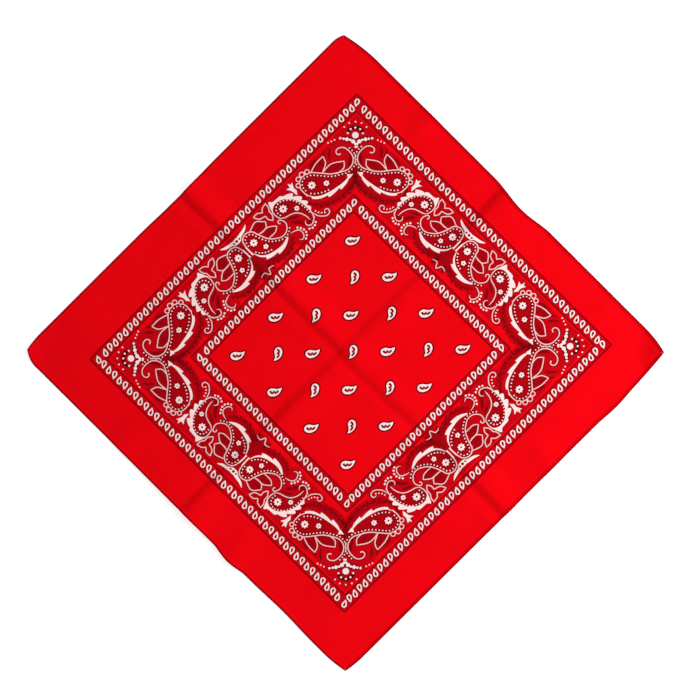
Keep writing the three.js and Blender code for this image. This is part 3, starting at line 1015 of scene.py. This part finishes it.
def turned_cotton_hem(colours):
    """The same cotton turned over, with painted shade that darkens it towards the fold."""
    def base(tree, cloth_uv):
        fold = add_node(tree, "ShaderNodeAttribute", {}, attribute_name="fold_shade").outputs["Fac"]
        shade = add_node(tree, "ShaderNodeMix", {0: fold, 6: colours.dye, 7: colours.hem}, **OF_COLOURS)
        return shade.outputs[2]
    return woven_cotton("turned_cotton_hem", base)


def sewing_thread(colours):
    """Spun sewing thread, as matt as the cotton and a little deeper in colour."""
    def base(tree, cloth_uv):
        shade = add_node(tree, "ShaderNodeMix", {0: 0.35, 6: colours.dye, 7: colours.hem}, **OF_COLOURS)
        return shade.outputs[2]
    return woven_cotton("sewing_thread", base)


# The pieces.


class BANDANA_OT_panel(bpy.types.Operator):
    """Cuts the woven panel along its print and lays it down"""
    bl_idname = "bandana.panel"
    bl_label = "Printed panel"

    def execute(self, context):
        sizes, colours = context.scene.bandana_sizes, context.scene.bandana_colours
        side, thickness = sizes.finished_side / MM, sizes.cloth_thickness / MM
        half = side / 2 - HEM_WIDTH + SEAM_OVERLAP
        shapes = [(ink, flat_place(stepped(loop, EDGE_STEP), side)) for ink, loop in whole_print()]
        flat, faces, inks, rim = printed_cloth(half, shapes)
        under_flat, under_faces, under_rim = cut_cloth([flat[rim]], ground_grid(half, UNDER_STEP))
        first = len(flat)
        under_rim = [first + k for k in under_rim]
        vertices = np.vstack([cloth_points(flat, side, thickness), cloth_points(under_flat, side, 0)])
        sides = zip(under_rim, under_rim[1:] + under_rim[:1], rim[1:] + rim[:1], rim)
        every = [*faces, *(first + under_faces[:, ::-1]), *sides]
        piece = new_piece("printed_panel", vertices, every, printed_plain_woven_cotton(colours))
        sharpen_rims(piece, (rim, under_rim))
        mixes = np.array(INK_MIXES, np.float32)[inks]
        corners = corner_vertices(piece.data)
        ink = np.zeros((len(corners), 4), np.float32)
        ink[:3 * len(faces), :3] = np.repeat(mixes, 3, axis=0)
        below = corners >= first
        ink[below, :3] = show_through(flat, faces, mixes, under_flat, half)[corners[below] - first]
        ink[:, 3] = 1
        attribute = piece.data.color_attributes.new("print_ink", "FLOAT_COLOR", "CORNER")
        attribute.data.foreach_set("color", ink.ravel())
        add_uv(piece, "cloth", np.vstack([flat, under_flat]) * MM)
        baked = [(places / side + 0.5) * size + start
                 for places, (size, start) in ((flat, BAKE_TOP), (under_flat, BAKE_UNDER))]
        add_uv(piece, "OFBake", np.vstack(baked))
        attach(piece, "root")
        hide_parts("panel")
        return {"FINISHED"}


def beside(over, run, out):
    """Places along a side, so far out from the middle."""
    return np.stack([run, out] if over == 1 else [out, run], 1)


def hem_puckers(run, over, sign):
    """Small ripples along a hem, where the stitches draw the cloth together. Each hem has its own."""
    run = run + 40 * sign + 17 * over
    return sum(rise * np.sin(run * 2 * math.pi / length + start) for rise, length, start in PUCKERS)


class BANDANA_OT_hems(bpy.types.Operator):
    """Turns the four edges over into narrow hems"""
    bl_idname = "bandana.hems"
    bl_label = "Turned hems"

    def execute(self, context):
        side = context.scene.bandana_sizes.finished_side / MM
        material = turned_cotton_hem(context.scene.bandana_colours)
        out, above, fold_shade = np.array(HEM_SECTION).T
        far = side / 2 - HEM_WIDTH + out
        rings, n = round(side / HEM_STEP), len(HEM_SECTION)
        faces = [[k * n + c, k * n + (c + 1) % n, (k + 1) * n + (c + 1) % n, (k + 1) * n + c]
                 for k in range(rings) for c in range(n)]
        faces += [list(range(n))[::-1], [rings * n + c for c in range(n)]]
        for name, (over, sign) in HEMS.items():
            flat, high = [], []
            for share in np.linspace(-1, 1, rings + 1):
                flat.append(beside(over, share * (far - MITRE_GAP), sign * far))
                pucker = hem_puckers(share * side / 2, over, sign)
                high.append(above + np.where(above > PUCKER_ABOVE, pucker, 0))
            flat = np.vstack(flat)
            outwards = [f[::-1] for f in faces] if (over == 1) == (sign > 0) else faces
            vertices = cloth_points(flat, side, np.concatenate(high))
            piece = new_piece("turned_hem_" + name, vertices, outwards, material)
            for end in piece.data.polygons[-2:]:
                end.use_smooth = False
            # The painted shade of the fold, as a share of the hem's deeper red at each point of the section.
            attribute = piece.data.attributes.new("fold_shade", "FLOAT", "POINT")
            attribute.data.foreach_set("value", np.tile(fold_shade, rings + 1))
            add_uv(piece, "cloth", flat * MM)
            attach(piece, "root")
            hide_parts("hem_" + name)
        return {"FINISHED"}


class BANDANA_OT_stitching(bpy.types.Operator):
    """Sews each hem down with a row of lockstitches, from one stitch that is modelled once"""
    bl_idname = "bandana.stitching"
    bl_label = "Stitching"

    def execute(self, context):
        sizes = context.scene.bandana_sizes
        side, pitch = sizes.finished_side / MM, sizes.stitch_length / MM
        material = sewing_thread(context.scene.bandana_colours)
        deselect_all()
        bpy.ops.mesh.primitive_uv_sphere_add(segments=6, ring_count=4, radius=0.5, location=(0, 0, 0))
        pattern = context.object
        bpy.ops.object.mode_set(mode="EDIT")
        bpy.ops.mesh.select_all(action="SELECT")
        bpy.ops.transform.rotate(value=math.pi / 2, orient_axis="Y", center_override=(0, 0, 0))
        size = (sizes.stitch_length * STITCH_FILL, sizes.thread * STITCH_FLATNESS, sizes.thread)
        bpy.ops.transform.resize(value=size, center_override=(0, 0, 0))
        bpy.ops.object.mode_set(mode="OBJECT")
        stitch = np.array([v.co[:] for v in pattern.data.vertices])
        faces = [tuple(f.vertices) for f in pattern.data.polygons]
        bpy.data.objects.remove(pattern)
        line = side / 2 - SEAM_IN
        count = int(2 * (line - SEAM_END) / pitch)
        runs = (np.arange(count) - (count - 1) / 2) * pitch
        every = [tuple(k * len(stitch) + v for v in f) for k in range(count) for f in faces]
        for name, (over, sign) in HEMS.items():
            out = np.full(count, sign * line)
            above = HEM_TOP - STITCH_SINK + hem_puckers(runs, over, sign)
            seam = beside(over, runs, out)
            middle = cloth_points(seam, side, above)
            forward = cloth_points(beside(over, runs + pitch / 2, out), side, above) - middle
            forward /= np.linalg.norm(forward, axis=1)[:, None]
            across = np.cross((0, 0, 1.0), forward)
            across /= np.linalg.norm(across, axis=1)[:, None]
            places = middle[:, None]
            for part, direction in zip(stitch.T, (forward, across, np.cross(forward, across))):
                places = places + part[None, :, None] * direction[:, None]
            piece = new_piece("stitching_" + name, places.reshape(-1, 3), every, material)
            add_uv(piece, "cloth", np.repeat(seam, len(stitch), axis=0) * MM)
            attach(piece, "root")
        return {"FINISHED"}


class BANDANA_OT_thread_tail(bpy.types.Operator):
    """Leaves the loose end of the thread at the bottom corner"""
    bl_idname = "bandana.thread_tail"
    bl_label = "Thread tail"

    def execute(self, context):
        curve = bpy.data.curves.new("thread_tail", "CURVE")
        curve.dimensions = "3D"
        curve.bevel_depth = context.scene.bandana_sizes.thread / 2
        curve.bevel_resolution = 2
        curve.use_fill_caps = True
        run = curve.splines.new("NURBS")
        run.points.add(len(TAIL) - 1)
        run.use_endpoint_u = True
        corner = np.array([*CORNERS["bottom"], 0.0])
        for point, place in zip(run.points, TAIL):
            point.co = (*((corner + place) * MM), 1)
        piece = bpy.data.objects.new("thread_tail", curve)
        context.scene.collection.objects.link(piece)
        deselect_all()
        piece.select_set(True)
        context.view_layer.objects.active = piece
        bpy.ops.object.convert(target="MESH")
        piece = context.object
        piece.data.materials.clear()
        piece.data.materials.append(sewing_thread(context.scene.bandana_colours))
        piece.data.uv_layers[0].name = "cloth"
        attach(piece, "root")
        return {"FINISHED"}


class BANDANA_OT_stage(bpy.types.Operator):
    """Sets the pale floor, the soft light and the camera straight above"""
    bl_idname = "bandana.stage"
    bl_label = "Studio"

    def execute(self, context):
        studio = context.scene.bandana_studio
        deselect_all()
        bpy.ops.mesh.primitive_plane_add(size=FLOOR_SIZE, location=(0, 0, -FLOOR_UNDER))
        floor = context.object
        floor.name = "studio_floor"
        # Uncoated paper gives the eye no shine. Its glow keeps the ground as white as in a cut-out.
        material = bpy.data.materials.new("matt_white_paper")
        material.use_nodes = True
        paper = material.node_tree.nodes["Principled BSDF"].inputs
        paper["Base Color"].default_value = (*[studio.floor_grey] * 3, 1)
        paper["Roughness"].default_value = 1
        paper["Specular IOR Level"].default_value = 0
        paper["Emission Color"].default_value = (1, 1, 1, 1)
        paper["Emission Strength"].default_value = FLOOR_GLOW
        floor.data.materials.append(material)
        soft = bpy.data.lights.new("soft_box", "AREA")
        soft.energy = studio.soft_light
        soft.size = LAMP_SIZE
        lamp = bpy.data.objects.new("soft_box", soft)
        context.scene.collection.objects.link(lamp)
        lamp.location = LAMP_PLACE
        lamp.rotation_euler = (-lamp.location).to_track_quat("-Z", "Y").to_euler()
        world = bpy.data.worlds.new("studio_walls")
        world.use_nodes = True
        walls = world.node_tree.nodes["Background"].inputs
        walls["Color"].default_value = (1, 1, 1, 1)
        walls["Strength"].default_value = WALL_LIGHT
        context.scene.world = world
        context.scene.view_settings.view_transform = "Standard"
        lens = bpy.data.cameras.new("camera_above")
        lens.lens = CAMERA_LENS
        lens.clip_end = CAMERA_REACH
        camera = bpy.data.objects.new("camera_above", lens)
        context.scene.collection.objects.link(camera)
        camera.location = (*CAMERA_AIM, CAMERA_FIELD * lens.lens / lens.sensor_width)
        context.scene.camera = camera
        return {"FINISHED"}


class BANDANA_PT_pieces(bpy.types.Panel):
    """Lists the bandana's sizes, colours and pieces"""
    bl_idname = "BANDANA_PT_pieces"
    bl_label = "Bandana"
    bl_space_type = "VIEW_3D"
    bl_region_type = "UI"
    bl_category = "Bandana"

    def draw(self, context):
        for name, group in GROUPS.items():
            for setting in group.__annotations__:
                self.layout.prop(getattr(context.scene, name), setting)
        for operator in OPERATORS:
            self.layout.operator(operator.bl_idname)


GROUPS = {"bandana_sizes": BandanaSizes, "bandana_colours": BandanaColours, "bandana_studio": BandanaStudio}
OPERATORS = (BANDANA_OT_stage, BANDANA_OT_panel, BANDANA_OT_hems, BANDANA_OT_stitching,
             BANDANA_OT_thread_tail)


def register():
    for cls in (*GROUPS.values(), *OPERATORS, BANDANA_PT_pieces):
        bpy.utils.register_class(cls)
    for name, group in GROUPS.items():
        setattr(bpy.types.Scene, name, bpy.props.PointerProperty(type=group))


def unregister():
    for name in GROUPS:
        delattr(bpy.types.Scene, name)
    for cls in (BANDANA_PT_pieces, *OPERATORS, *GROUPS.values()):
        bpy.utils.unregister_class(cls)


def main():
    register()
    bpy.ops.bandana.stage()
    bpy.ops.bandana.panel()
    bpy.ops.bandana.hems()
    bpy.ops.bandana.stitching()
    bpy.ops.bandana.thread_tail()
    hems = [bpy.data.objects[kind + name] for kind in ("turned_hem_", "stitching_") for name in HEMS]
    hems.append(bpy.data.objects["thread_tail"])


if __name__ == "__main__":
    main()
